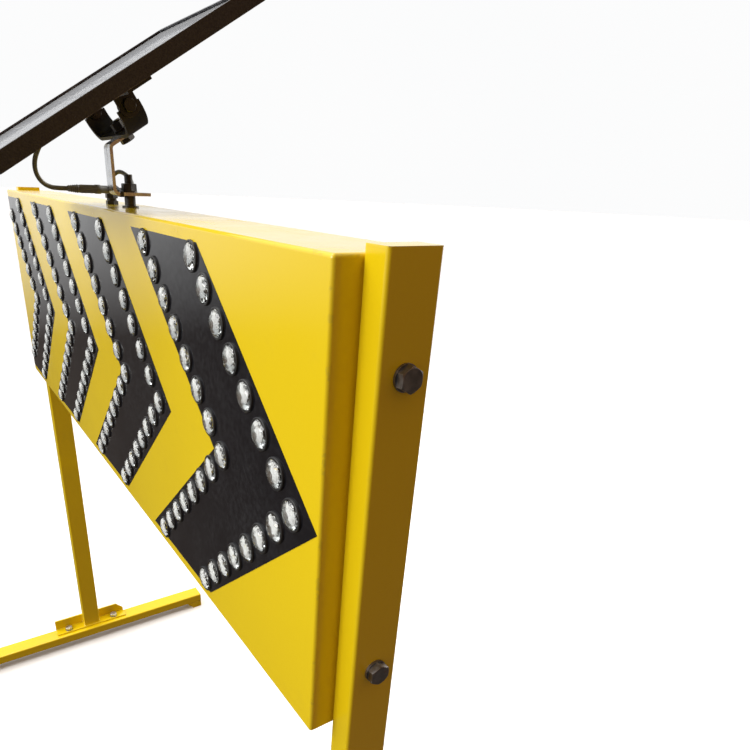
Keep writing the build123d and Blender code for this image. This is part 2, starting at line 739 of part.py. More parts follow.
def solar_yoke():
    """U-shaped flat bar whose arms carry the panel."""
    arm_top = PIVOT_W + PIVOT_END_RADIUS
    points = [
        (-YOKE_ARM_X, 0, arm_top),
        (-YOKE_ARM_X, 0, YOKE_BASE_W),
        (YOKE_ARM_X, 0, YOKE_BASE_W),
        (YOKE_ARM_X, 0, arm_top),
    ]
    yoke = bent_bar(points, YOKE_BEND_RADIUS, YOKE_WIDTH, YOKE_THICKNESS, (0, 1, 0))
    half = YOKE_THICKNESS / 2
    outer = YOKE_ARM_X + half
    yoke -= box((-outer, outer), (-YOKE_WIDTH, YOKE_WIDTH), (PIVOT_W, 2 * arm_top))
    for side in (-1, 1):
        yoke += pivot_end(side_span(side, YOKE_ARM_X - half, outer))
    bore = Pos(0, 0, PIVOT_W) * Rot(0, 90, 0)
    yoke -= bore * Cylinder(TILT_BOLT_RADIUS + RUNNING_GAP, 2 * outer)
    yoke -= Cylinder(BOLT10_RADIUS + THREAD_GAP, 4 * YOKE_THICKNESS)
    return TILTED * yoke


def yoke_bolt():
    """Bolt, washer and nut that clamp the yoke to the strap."""
    under = -STRAP_THICKNESS / 2
    over = YOKE_BASE_W + YOKE_THICKNESS / 2
    length = over + THIN_WASHER + BOLT10_NUT + BOLT_TAIL - under
    bolt = hex_bolt((0, 0, under), UP, BOLT10_RADIUS, length, BOLT10_FLATS, BOLT10_HEAD)
    bore = BOLT10_RADIUS + THREAD_GAP
    ring = washer((0, 0, over), UP, BOLT10_WASHER_RADIUS, bore, THIN_WASHER)
    nut = hexagon((0, 0, over + THIN_WASHER), UP, BOLT10_FLATS, BOLT10_NUT, bore)
    return [TILTED * shape for shape in (bolt, ring, nut)]


def tilt_bolts():
    """The pivot bolts and nuts through the rail's ears and the yoke's arms."""
    shapes = []
    seat = EAR_IN + EAR_THICKNESS
    nut_seat = YOKE_ARM_X - YOKE_THICKNESS / 2 - RUNNING_GAP
    length = seat - nut_seat + TILT_NUT + BOLT_TAIL
    bore = TILT_BOLT_RADIUS + THREAD_GAP
    for side in (-1, 1):
        inward = (-side, 0, 0)
        place = (side * seat, 0, PIVOT_W)
        bolt = hex_bolt(place, inward, TILT_BOLT_RADIUS, length, TILT_BOLT_FLATS, TILT_BOLT_HEAD)
        nut = hexagon((side * nut_seat, 0, PIVOT_W), inward, TILT_BOLT_FLATS, TILT_NUT, bore)
        shapes += [TILTED * bolt, TILTED * nut]
    return shapes


def cross_rail():
    """Flat rail across the panel's back, with an ear outside each arm of the yoke."""
    low = SOLAR_BACK_W - RAIL_THICKNESS
    half = YOKE_WIDTH / 2
    rail = box((-RAIL_HALF, RAIL_HALF), (-half, half), (low, SOLAR_BACK_W))
    for side in (-1, 1):
        span = side_span(side, EAR_IN, EAR_IN + EAR_THICKNESS)
        ear = box(span, (-PIVOT_END_RADIUS, PIVOT_END_RADIUS), (PIVOT_W, low))
        rail += ear + pivot_end(span)
    bore = Pos(0, 0, PIVOT_W) * Rot(0, 90, 0)
    rail -= bore * Cylinder(TILT_BOLT_RADIUS + THREAD_GAP, 2 * RAIL_HALF)
    return TILTED * rail


def centred(size_x, size_a, w_span):
    """A box centred on the tilted frame's middle."""
    return box((-size_x / 2, size_x / 2), (-size_a / 2, size_a / 2), w_span)


def solar_frame():
    """Extruded frame with a lip on the front and a wider one on the back."""
    back = SOLAR_BACK_W
    front = back + SOLAR_DEPTH
    width = SOLAR_WIDTH
    length = SOLAR_LENGTH
    frame = centred(width, length, (back, front))
    frame = fillet(frame.edges().filter_by(Axis.Z), 1.5)
    inner = 2 * SOLAR_WALL
    frame -= centred(width - inner, length - inner, (back + SOLAR_LIP, front - SOLAR_LIP))
    hole = 2 * SOLAR_BACK_LIP_WIDTH
    frame -= centred(width - hole, length - hole, (back, back + SOLAR_LIP))
    hole = 2 * SOLAR_FRONT_LIP_WIDTH
    frame -= centred(width - hole, length - hole, (front - SOLAR_LIP, front))
    return TILTED * frame


GLASS_FRONT_W = SOLAR_BACK_W + SOLAR_DEPTH - SOLAR_LIP
CELL_FRONT_W = GLASS_FRONT_W - GLASS_THICKNESS
SHEET_FRONT_W = CELL_FRONT_W - CELL_THICKNESS
SHEET_BACK_W = SHEET_FRONT_W - BACKSHEET_THICKNESS
LAMINATE_INSET = 2 * SOLAR_WALL + 0.4


def laminate(w_span):
    """A full-size layer of the panel's laminate."""
    layer = centred(SOLAR_WIDTH - LAMINATE_INSET, SOLAR_LENGTH - LAMINATE_INSET, w_span)
    return TILTED * layer


def solar_cells():
    """Rows of cells under the glass."""
    width = (SOLAR_WIDTH - 2 * CELL_MARGIN + CELL_GAP) / CELL_COLUMNS
    length = (SOLAR_LENGTH - 2 * CELL_MARGIN + CELL_GAP) / CELL_ROWS
    cell = Box(width - CELL_GAP, length - CELL_GAP, CELL_THICKNESS, align=BASE)
    grid = GridLocations(width, length, CELL_COLUMNS, CELL_ROWS)
    return [TILTED * Pos(0, 0, SHEET_FRONT_W) * place * cell for place in grid]


def junction_box():
    """Box on the panel's back with its cable gland facing down the slope."""
    w_span = (SHEET_BACK_W - JBOX_DEPTH, SHEET_BACK_W)
    case = fillet(box(JBOX_X, JBOX_A, w_span).edges().filter_by(Axis.Z), JBOX_RADIUS)
    outer_face = case.faces().sort_by(Axis.Z)[0]
    case = fillet(outer_face.edges(), JBOX_RADIUS / 3)
    mouth = (JBOX_CABLE_X, JBOX_A[0] - JBOX_GLAND_LENGTH, JBOX_CABLE_W)
    gland = rod(mouth, (0, 1, 0), JBOX_GLAND_RADIUS, JBOX_GLAND_LENGTH + 1)
    return TILTED * (case + gland)


# ---- cables ----------------------------------------------------------------------------

PANEL_CABLE_ROUTE = [
    on_slope(JBOX_CABLE_X, JBOX_A[0] - JBOX_GLAND_LENGTH, JBOX_CABLE_W),
    on_slope(JBOX_CABLE_X, -8.0, JBOX_CABLE_W),
    on_slope(41.0, -38.0, 51.5),
    above(30.0, -84.0, 91.0),
    above(16.0, -103.0, 69.0),
    above(6.0, -109.5, 55.0),
    above(-2.0, -111.0, 43.5),
    above(-10.0, -108.0, 33.0),
    above(-16.5, -101.0, 24.8),
    above(-20.0, -91.5, 20.6),
    above(CONNECTOR_X, -81.5, CONNECTOR_Z),
    above(CONNECTOR_X, CONNECTOR_Y, CONNECTOR_Z),
]

CABINET_CABLE_ROUTE = [
    above(CONNECTOR_X, CONNECTOR_Y + CONNECTOR_PROFILE[-1][0], CONNECTOR_Z),
    above(CONNECTOR_X, -2.0, CONNECTOR_Z),
    above(-23.5, 6.0, 20.7),
    above(-29.0, 12.5, 23.3),
    above(-37.0, 16.0, 28.0),
    above(-46.5, 16.5, 33.5),
    above(-57.0, 14.0, 39.0),
    above(-67.0, 9.5, 42.5),
    above(-75.5, 4.8, 39.8),
    above(-81.6, 1.5, 33.6),
    above(GLAND_X, 0.0, 25.6),
    above(GLAND_X, 0.0, GLAND_TOP),
]


def arc_radii(route):
    """The largest even arc for each corner of a route."""
    points = [Vector(*point) for point in route]
    runs = [after - before for before, after in zip(points, points[1:])]
    radii = []
    for run, after in zip(runs, runs[1:]):
        half_turn = math.radians(run.get_angle(after) / 2)
        radii.append(0.45 * min(run.length, after.length) / math.tan(half_turn))
    return radii


def cable(name, route):
    """A round cable along straight runs joined by tangent arcs."""
    radii = arc_radii(route)
    path = FilletPolyline(*route, radius=radii)
    start = Plane(origin=path @ 0, z_dir=path % 0)
    tube = sweep(start.location * Circle(CABLE_RADIUS), path=path)
    expected = math.pi * CABLE_RADIUS**2 * path.length
    print(f"{name}: length {path.length:.1f}, volume ratio {tube.volume / expected:.4f},",
          "radii", [round(radius, 1) for radius in radii])
    return tube


def inline_connector():
    """Moulded plug and socket where the two cables join."""
    start = frame_at(above(CONNECTOR_X, CONNECTOR_Y, CONNECTOR_Z), (0, 1, 0))
    return start * revolved(CONNECTOR_PROFILE)


def cable_tie():
    """Band round the strap's foot and the connector."""
    half = STRAP_WIDTH / 2
    low = STRAP_LOW
    high = STRAP_LOW + STRAP_THICKNESS
    corners = [(-half, low), (half, low), (half, high), (-half, high)]
    strap = Polyline(*corners, close=True)
    plug = Pos(CONNECTOR_X, CONNECTOR_Z) * Circle(CONNECTOR_PROFILE[-2][1] + RUNNING_GAP)
    outline = make_hull(strap.edges() + plug.edges())
    loop = offset(outline, TIE_THICKNESS + RUNNING_GAP) - offset(outline, RUNNING_GAP)
    start = Plane(origin=above(0, TIE_Y, 0), x_dir=(1, 0, 0), z_dir=(0, -1, 0))
    return start.location * extrude(loop, TIE_WIDTH)


def cable_gland():
    """Gland in the cabinet's top: hexagon, domed cap, and a nut inside."""
    foot = above(GLAND_X, 0, 0)
    body = hexagon(foot, UP, GLAND_FLATS, GLAND_BODY_HEIGHT)
    body += rod(foot, UP, GLAND_NECK_RADIUS, GLAND_CAP_LOW)
    cap = hexagon(above(GLAND_X, 0, GLAND_CAP_LOW), UP, GLAND_FLATS, GLAND_CAP_HEIGHT)
    body += cap + frame_at(foot, UP) * revolved(GLAND_DOME)
    thread = SWITCH_BUSH_RADIUS - THREAD_GAP
    body += rod(foot, DOWN, thread, GLAND_THREAD_LENGTH)
    nut = hexagon(above(GLAND_X, 0, -SHEET), DOWN, GLAND_FLATS, GLAND_NUT, SWITCH_BUSH_RADIUS)
    return [body, nut]


# ---- power switch ----------------------------------------------------------------------

def switch_body():
    """Toggle switch body, its threaded bush through the floor and the nut below."""
    floor = CAB_BOTTOM + SHEET
    place = (SWITCH_X, SWITCH_Y, floor)
    case = Pos(*place) * Box(*SWITCH_CASE, align=BASE)
    thread = SWITCH_BUSH_RADIUS - THREAD_GAP
    bush = rod(place, DOWN, thread, SWITCH_BUSH_LENGTH)
    pivot = Pos(SWITCH_X, SWITCH_Y, SWITCH_PIVOT_Z)
    mouth_depth = SWITCH_PIVOT_Z - (floor - SWITCH_BUSH_LENGTH)
    mouth = pivot * Rot(180, 0, 0) * Cone(SWITCH_SOCKET_RADIUS, SWITCH_MOUTH_RADIUS, mouth_depth,
                                       align=BASE)
    body = case + bush - mouth - pivot * Sphere(SWITCH_SOCKET_RADIUS)
    foot = (SWITCH_X, SWITCH_Y, CAB_BOTTOM)
    nut = hexagon(foot, DOWN, SWITCH_NUT_FLATS, SWITCH_NUT, SWITCH_BUSH_RADIUS)
    return [body, nut]


def switch_lever():
    """Ball-ended lever on its pivot pin, leaning to its off side."""
    ball = Sphere(LEVER_BALL_RADIUS)
    pin = Rot(90, 0, 0) * Cylinder(LEVER_PIN_RADIUS, LEVER_PIN_LENGTH)
    place = Pos(SWITCH_X, SWITCH_Y, SWITCH_PIVOT_Z) * Rot(0, SWITCH_REST, 0)
    return place * (ball + pin + revolved(LEVER_PROFILE))


# ---- write every node ------------------------------------------------------------------

save("cabinet_shell", cabinet_shell())
frame_y = REAR - SHEET - GASKET_THICKNESS
frame_span = (frame_y - REAR_FRAME_THICKNESS, frame_y)
save("rear_frame", panel_holes(ring_inside(frame_span, REAR_FRAME_WIDTH), PANEL_SCREW_RADIUS))
gasket = ring_inside((frame_y, REAR - SHEET), GASKET_WIDTH)
save("panel_gasket", panel_holes(gasket, PANEL_SCREW_RADIUS + RUNNING_GAP))
save("access_panel", access_panel())
save("access_screws", *access_screws())

BEZEL = lamp_bezel()
LENS = lamp_lens()
for number in range(1, CHEVRON_COUNT + 1):
    places = [on_front(x, z) for x, z in lamp_points(number)]
    save(f"chevron_film_{number}", chevron_film(number))
    save(f"lamp_bezels_{number}", *[place * BEZEL for place in places])
    save(f"lamp_lenses_{number}", *[place * LENS for place in places])
CUP = lamp_cup()
CHIP = Pos(0, 0, BOARD_FRONT) * Box(CHIP_SIDE, CHIP_SIDE, CHIP_HEIGHT, align=BASE)
save("lamp_reflectors", *[place * CUP for place in lamp_places()])
save("led_chips", *[place * CHIP for place in lamp_places()])
save("led_boards", *[led_board(number) for number in range(1, CHEVRON_COUNT + 1)])
save("board_standoffs", *board_standoffs())

save("battery_tray", battery_tray())
save("battery", battery())
save("battery_band", battery_band())
save("controller_case", controller_case())
save("controller_cover", controller_cover())
save("wiring_duct", wiring_duct())

for name, side in (("left", -1), ("right", 1)):
    save(f"post_{name}", post(side))
    save(f"foot_bar_{name}", foot_bar(side))
    save(f"foot_angle_{name}", foot_angle(side))
save("end_plates", *both_ends(end_plate))
save("cabinet_bolts", *both_ends(cabinet_bolts))
save("flat_washers", *both_ends(post_washers), *both_ends(foot_washers))
save("cabinet_nuts", *both_ends(cabinet_nuts))
save("foot_tabs", *[foot_tab(side, end) for side in (-1, 1) for end in (-1, 1)])
save("foot_bolts", *both_ends(foot_bolts))
save("foot_nuts", *both_ends(foot_nuts))

save("swivel_stud", swivel_stud())
save("swivel_nuts", *swivel_nuts())
save("swivel_bush", *swivel_bush())
save("solar_strap", solar_strap())
save("solar_yoke", solar_yoke())
save("yoke_bolt", *yoke_bolt())
save("tilt_bolts", *tilt_bolts())
save("cross_rail", cross_rail())
save("solar_frame", solar_frame())
save("solar_glass", laminate((CELL_FRONT_W, GLASS_FRONT_W)))
save("solar_cells", *solar_cells())
save("solar_backsheet", laminate((SHEET_BACK_W, SHEET_FRONT_W)))
save("junction_box", junction_box())

save("panel_cable", cable("panel_cable", PANEL_CABLE_ROUTE))
save("cabinet_cable", cable("cabinet_cable", CABINET_CABLE_ROUTE))
save("inline_connector", inline_connector())
save("cable_tie", cable_tie())
save("cable_gland", *cable_gland())
save("switch_body", *switch_body())
save("switch_lever", switch_lever())
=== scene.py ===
import math

import bpy
from mathutils import Matrix, Vector


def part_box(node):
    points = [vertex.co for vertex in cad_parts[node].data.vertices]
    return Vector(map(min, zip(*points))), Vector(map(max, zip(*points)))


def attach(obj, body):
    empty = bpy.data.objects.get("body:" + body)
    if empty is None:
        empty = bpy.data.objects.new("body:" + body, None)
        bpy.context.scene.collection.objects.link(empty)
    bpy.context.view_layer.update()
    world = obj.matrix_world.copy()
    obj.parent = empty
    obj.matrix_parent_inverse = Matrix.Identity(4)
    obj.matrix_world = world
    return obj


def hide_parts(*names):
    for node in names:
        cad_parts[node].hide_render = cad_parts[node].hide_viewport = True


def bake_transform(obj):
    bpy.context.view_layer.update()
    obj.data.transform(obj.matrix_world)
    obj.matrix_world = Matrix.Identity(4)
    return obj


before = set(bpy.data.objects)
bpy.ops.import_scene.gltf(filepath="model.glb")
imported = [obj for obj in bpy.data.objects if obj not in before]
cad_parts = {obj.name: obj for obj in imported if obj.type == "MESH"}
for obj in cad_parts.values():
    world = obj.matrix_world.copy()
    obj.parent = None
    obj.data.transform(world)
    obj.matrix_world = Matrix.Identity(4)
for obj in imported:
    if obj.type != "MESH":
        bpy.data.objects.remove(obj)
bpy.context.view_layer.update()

# Metres, in the CAD model's frame: origin on the ground, +X along the board, lamps facing -Y.

# ---- places, from the frame and the CAD's own tilt and strap ----------------------------

CABINET_LOW, CABINET_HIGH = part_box("cabinet_shell")
TOP = CABINET_HIGH[2]
FRONT = CABINET_LOW[1]
END = CABINET_HIGH[0]
STUD_LOW, STUD_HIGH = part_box("swivel_stud")
STUD_X = (STUD_LOW[0] + STUD_HIGH[0]) / 2
TILT = math.radians(32.0)
SLOPE = Vector((0.0, math.cos(TILT), math.sin(TILT)))
OFF_SLOPE = Vector((0.0, -math.sin(TILT), math.cos(TILT)))
STRAP_FRONT = -0.022
STRAP_BEND = 0.070
YOKE_BOLT = Vector((STUD_X, 0.0, TOP + STRAP_BEND - STRAP_FRONT * math.tan(TILT)))


def above(x, y, z):
    """A point in millimetres from where the solar panel's stud meets the cabinet's top."""
    return Vector((STUD_X + x / 1000, y / 1000, TOP + z / 1000))


def on_slope(x, a, w):
    """A point in millimetres across, up and off the slope of the solar panel."""
    return YOKE_BOLT + Vector((x / 1000, 0, 0)) + SLOPE * (a / 1000) + OFF_SLOPE * (w / 1000)


def show(made):
    """Links a new object into the scene and gives it back."""
    bpy.context.scene.collection.objects.link(made)
    return made


# ---- camera ------------------------------------------------------------------------------

CAMERA_PLACE = (0.9643, -0.2640, 1.2884)
CAMERA_TURN = (64.685, -2.243, 57.649)
CAMERA_LENS = 29.44
CAMERA_SHIFT = (0.078, 0.132)


def add_camera():
    """A wide lens close to the near end, a little above the cabinet."""
    data = bpy.data.cameras.new("camera")
    data.lens = CAMERA_LENS
    data.shift_x, data.shift_y = CAMERA_SHIFT
    data.clip_start = 0.01
    camera = show(bpy.data.objects.new("camera", data))
    camera.location = CAMERA_PLACE
    camera.rotation_euler = [math.radians(angle) for angle in CAMERA_TURN]
    bpy.context.scene.camera = camera


add_camera()


# ---- pieces ------------------------------------------------------------------------------

def piece(name, verts, faces, material, body, slot, smooth=True):
    """A new mesh that rides on a body."""
    mesh = bpy.data.meshes.new(name)
    mesh.from_pydata([tuple(vert) for vert in verts], [], faces)
    mesh.validate()
    mesh.materials.append(material)
    for polygon in mesh.polygons:
        polygon.use_smooth = smooth
    made = show(bpy.data.objects.new(name, mesh))
    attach(made, body)
    return made


def lathe(profile, segments, diamond=False):
    """Vertices and faces turned about Z from (height, radius) pairs; diamond staggers the rings."""
    verts = []
    rings = []
    for number, (height, radius) in enumerate(profile):
        if radius == 0:
            rings.append([len(verts)] * segments)
            verts.append(Vector((0, 0, height)))
            continue
        shift = 0.5 * (number % 2) if diamond else 0.0
        ring = []
        for step in range(segments):
            angle = 2 * math.pi * (step + shift) / segments
            ring.append(len(verts))
            verts.append(Vector((radius * math.cos(angle), radius * math.sin(angle), height)))
        rings.append(ring)
    faces = []
    for number, (lower, upper) in enumerate(zip(rings, rings[1:])):
        odd = diamond and number % 2
        for step in range(segments):
            after = (step + 1) % segments
            if not diamond:
                faces.append([lower[step], lower[after], upper[after], upper[step]])
            elif odd:
                faces.append([lower[step], upper[after], upper[step]])
                faces.append([lower[step], lower[after], upper[after]])
            else:
                faces.append([lower[step], lower[after], upper[step]])
                faces.append([lower[after], upper[after], upper[step]])
    clean = [list(dict.fromkeys(face)) for face in faces]
    return verts, [face for face in clean if len(face) > 2]


def repeated(shape, places):
    """The vertices and faces of one shape set at many places."""
    base_verts, base_faces = shape
    verts = []
    faces = []
    for place in places:
        start = len(verts)
        verts += [place @ vert for vert in base_verts]
        faces += [[start + index for index in face] for face in base_faces]
    return verts, faces


def capped_skin(rings, sides):
    """The faces of a tube of vertex rings, with a cap at both ends."""
    faces = []
    for low in range(0, (rings - 1) * sides, sides):
        for side in range(sides):
            after = (side + 1) % sides
            faces.append([low + side, low + after, low + sides + after, low + sides + side])
    faces.append(list(range(sides))[::-1])
    faces.append([(rings - 1) * sides + side for side in range(sides)])
    return faces


def joined(shapes):
    """Several (vertices, faces) pairs as one."""
    verts = []
    faces = []
    for more_verts, more_faces in shapes:
        start = len(verts)
        verts += more_verts
        faces += [[start + index for index in face] for face in more_faces]
    return verts, faces


# ---- materials ---------------------------------------------------------------------------

class Finish:
    """A procedural material: one shader, and short calls for the nodes that feed it."""

    def __init__(self, name, **sockets):
        self.material = bpy.data.materials.new(name)
        self.material.use_nodes = True
        self.tree = self.material.node_tree
        self.shader = self.tree.nodes["Principled BSDF"]
        self.where = self.add("ShaderNodeTexCoord").outputs["Object"]
        for socket, value in sockets.items():
            self.shader.inputs[socket.replace("_", " ")].default_value = value

    def add(self, kind, **settings):
        node = self.tree.nodes.new(kind)
        for name, value in settings.items():
            setattr(node, name, value)
        return node

    def feed(self, node, socket, value):
        """Links an output to a socket, or sets a plain value on it."""
        if isinstance(value, bpy.types.NodeSocket):
            self.tree.links.new(value, node.inputs[socket])
        else:
            node.inputs[socket].default_value = value

    def stretched(self, stretch):
        """The place on the object, with each axis scaled."""
        node = self.add("ShaderNodeVectorMath", operation="MULTIPLY")
        self.feed(node, 0, self.where)
        self.feed(node, 1, stretch)
        return node.outputs[0]

    def noise(self, scale, detail=3.0, roughness=0.55, stretch=(1, 1, 1)):
        node = self.add("ShaderNodeTexNoise")
        self.feed(node, "Vector", self.stretched(stretch))
        self.feed(node, "Scale", scale)
        self.feed(node, "Detail", detail)
        self.feed(node, "Roughness", roughness)
        return node.outputs["Fac"]

    def cells(self, scale, output="Distance", feature="F1"):
        node = self.add("ShaderNodeTexVoronoi", feature=feature)
        self.feed(node, "Vector", self.where)
        self.feed(node, "Scale", scale)
        return node.outputs[output]

    def spread(self, value, low, high, to_low=0.0, to_high=1.0):
        """value from low..high to to_low..to_high, held at both ends."""
        node = self.add("ShaderNodeMapRange")
        for socket, number in zip(range(5), (value, low, high, to_low, to_high)):
            self.feed(node, socket, number)
        return node.outputs[0]

    def compute(self, operation, first, second=0.0):
        node = self.add("ShaderNodeMath", operation=operation)
        self.feed(node, 0, first)
        self.feed(node, 1, second)
        return node.outputs[0]

    def mix(self, factor, first, second):
        """A colour between first and second."""
        node = self.add("ShaderNodeMix", data_type="RGBA")
        self.feed(node, 0, factor)
        for socket, colour in ((6, first), (7, second)):
            self.feed(node, socket, (*colour, 1.0) if isinstance(colour, tuple) else colour)
        return node.outputs[2]

    def edges(self, radius):
        """How strongly a point lies on an outer or inner edge, from 0 to 1."""
        bevel = self.add("ShaderNodeBevel", samples=4)
        self.feed(bevel, "Radius", radius)
        flat = self.add("ShaderNodeNewGeometry")
        dot = self.add("ShaderNodeVectorMath", operation="DOT_PRODUCT")
        self.feed(dot, 0, bevel.outputs[0])
        self.feed(dot, 1, flat.outputs["Normal"])
        return self.spread(dot.outputs["Value"], 0.99, 0.86)

    def bump(self, height, distance, after=None):
        """A bump of the given depth in metres, on top of an earlier one."""
        node = self.add("ShaderNodeBump")
        self.feed(node, "Height", height)
        self.feed(node, "Distance", distance)
        if after:
            self.feed(node, "Normal", after)
        return node.outputs[0]

    def finish(self, colour=None, roughness=None, normal=None, metallic=None):
        """Feeds the shader and gives the material."""
        fed = {"Base Color": colour, "Roughness": roughness, "Normal": normal, "Metallic": metallic}
        for socket, value in fed.items():
            if value is not None:
                self.feed(self.shader, socket, value)
        return self.material


def yellow_enamel():
    """Gloss yellow enamel on sheet steel: orange peel, soft waves, chips along the edges."""
    look = Finish("yellow_enamel", Coat_Weight=0.25, Coat_Roughness=0.06)
    colour = look.mix(look.noise(2.6, 2.0), (0.78, 0.55, 0.004), (0.81, 0.60, 0.008))
    colour = look.mix(look.spread(look.noise(310.0, 2.0), 0.3, 0.7, 0.0, 0.06), colour, (0.70, 0.42, 0.01))
    grime = look.compute("MULTIPLY", look.spread(look.noise(7.0, 6.0, 0.7), 0.55, 0.8),
                         look.spread(look.noise(60.0, 4.0, 0.7), 0.4, 0.7, 0.05, 0.30))
    colour = look.mix(grime, colour, (0.36, 0.22, 0.03))
    edge = look.edges(0.0028)
    rub = look.compute("MULTIPLY", edge, look.spread(look.noise(24.0, 4.0), 0.35, 0.7, 0.1, 0.55))
    colour = look.mix(rub, colour, (0.90, 0.74, 0.16))
    chips = look.compute("MULTIPLY", edge, look.spread(look.noise(85.0, 5.0, 0.65), 0.575, 0.60))
    specks = look.spread(look.cells(150.0), 0.045, 0.02)
    specks = look.compute("MULTIPLY", specks, look.spread(look.noise(18.0, 2.0), 0.60, 0.66))
    chips = look.compute("MAXIMUM", chips, specks)
    colour = look.mix(chips, colour, (0.055, 0.040, 0.030))
    roughness = look.spread(look.noise(14.0, 5.0, 0.6), 0.3, 0.75, 0.12, 0.24)
    matt = look.compute("MULTIPLY", look.compute("MAXIMUM", grime, chips), 0.4)
    roughness = look.compute("ADD", roughness, matt)
    normal = look.bump(look.noise(5.5, 1.0), 0.0016)
    normal = look.bump(look.noise(330.0, 1.0), 0.00003, after=normal)
    normal = look.bump(look.compute("SUBTRACT", 1.0, chips), 0.00018, after=normal)
    return look.finish(colour, roughness, normal)


def film_black():
    """Gloss black film: faint waves, dust and fine wipe marks."""
    look = Finish("film_black")
    dust = look.compute("MULTIPLY", look.spread(look.noise(5.0, 5.0, 0.7), 0.40, 0.8),
                        look.spread(look.noise(180.0), 0.35, 0.7))
    colour = look.mix(dust, (0.006, 0.006, 0.008), (0.040, 0.042, 0.046))
    wipe = look.noise(60.0, 3.0, 0.7, stretch=(0.12, 1.0, 1.0))
    roughness = look.spread(wipe, 0.3, 0.8, 0.06, 0.16)
    normal = look.bump(look.noise(7.0, 1.0), 0.0010)
    normal = look.bump(look.noise(55.0, 2.0), 0.00010, after=normal)
    return look.finish(colour, roughness, normal)


def plastic(name, dark, light, rough=(0.35, 0.6), grain=900.0, depth=0.00005):
    """Moulded plastic or rubber with a fine grain, slight staining and paler edges."""
    look = Finish(name)
    colour = look.mix(look.spread(look.noise(22.0, 4.0), 0.3, 0.7), dark, light)
    pale = tuple(min(1.0, 1.7 * channel + 0.03) for channel in light)
    colour = look.mix(look.compute("MULTIPLY", look.edges(0.0009), 0.45), colour, pale)
    roughness = look.spread(look.noise(35.0, 4.0), 0.3, 0.7, *rough)
    normal = look.bump(look.noise(grain, 1.0), depth)
    return look.finish(colour, roughness, normal)


def steel(name, dark, light, rough, rust):
    """Plated or bare steel: mottled plating, tool marks, bright edges and a little rust."""
    look = Finish(name)
    colour = look.mix(look.spread(look.noise(60.0, 5.0, 0.65), 0.3, 0.7), dark, light)
    bright = tuple(min(1.0, 1.35 * channel + 0.08) for channel in light)
    rubbed = look.compute("MULTIPLY", look.edges(0.0007), look.spread(look.noise(240.0), 0.35, 0.6))
    colour = look.mix(rubbed, colour, bright)
    marks = look.spread(look.cells(210.0, feature="DISTANCE_TO_EDGE"), 0.03, 0.0)
    marks = look.compute("MULTIPLY", marks, look.spread(look.noise(45.0), 0.5, 0.65, 0.0, 0.6))
    colour = look.mix(marks, colour, tuple(channel * 0.4 for channel in dark))
    spots = look.spread(look.noise(130.0, 6.0, 0.7), 0.70 - rust, 0.76 - rust)
    colour = look.mix(spots, colour, (0.16, 0.06, 0.02))
    roughness = look.spread(look.noise(120.0, 4.0), 0.3, 0.7, *rough)
    roughness = look.compute("ADD", roughness, look.compute("MULTIPLY", spots, 0.4))
    normal = look.bump(look.noise(360.0, 3.0), 0.00008)
    normal = look.bump(marks, -0.00005, after=normal)
    return look.finish(colour, roughness, normal, look.compute("SUBTRACT", 1.0, spots))


def galvanised():
    """Bright zinc coat with soft spangle and rubbed edges."""
    look = Finish("galvanised")
    grey = look.add("ShaderNodeRGBToBW")
    look.feed(grey, 0, look.cells(170.0, output="Color"))
    colour = look.mix(grey.outputs[0], (0.52, 0.53, 0.55), (0.80, 0.81, 0.82))
    colour = look.mix(look.spread(look.noise(26.0, 4.0), 0.5, 0.8, 0.0, 0.4), colour, (0.40, 0.40, 0.41))
    roughness = look.spread(grey.outputs[0], 0.2, 0.8, 0.18, 0.38)
    normal = look.bump(look.noise(120.0, 3.0), 0.00012)
    return look.finish(colour, roughness, normal, 1.0)


def black_coat():
    """Black powder coat with a fine texture and rubbed edges."""
    look = Finish("black_bracket")
    colour = look.mix(look.noise(30.0, 4.0), (0.010, 0.010, 0.011), (0.026, 0.026, 0.028))
    rubbed = look.compute("MULTIPLY", look.edges(0.0012),
                          look.spread(look.noise(110.0, 4.0), 0.52, 0.6, 0.1, 0.8))
    colour = look.mix(rubbed, colour, (0.22, 0.21, 0.20))
    roughness = look.spread(look.noise(18.0, 4.0), 0.3, 0.7, 0.28, 0.46)
    normal = look.bump(look.noise(1300.0, 2.0), 0.00006)
    return look.finish(colour, roughness, normal)


def anodised():
    """Black anodised extrusion with fine lines along it and worn, paler edges."""
    look = Finish("black_anodised", Metallic=0.5)
    lines = look.noise(700.0, 2.0, 0.5, stretch=(0.02, 1.0, 1.0))
    colour = look.mix(look.spread(lines, 0.3, 0.7), (0.030, 0.030, 0.033), (0.060, 0.060, 0.065))
    worn = look.compute("MULTIPLY", look.edges(0.0012),
                        look.spread(look.noise(90.0, 4.0), 0.42, 0.62, 0.15, 0.9))
    colour = look.mix(worn, colour, (0.34, 0.34, 0.35))
    roughness = look.spread(look.noise(40.0, 4.0), 0.3, 0.7, 0.26, 0.42)
    normal = look.bump(lines, 0.00004)
    return look.finish(colour, roughness, normal)


FINGER_PITCH = 0.0024
BUSBAR_PITCH = 0.03435


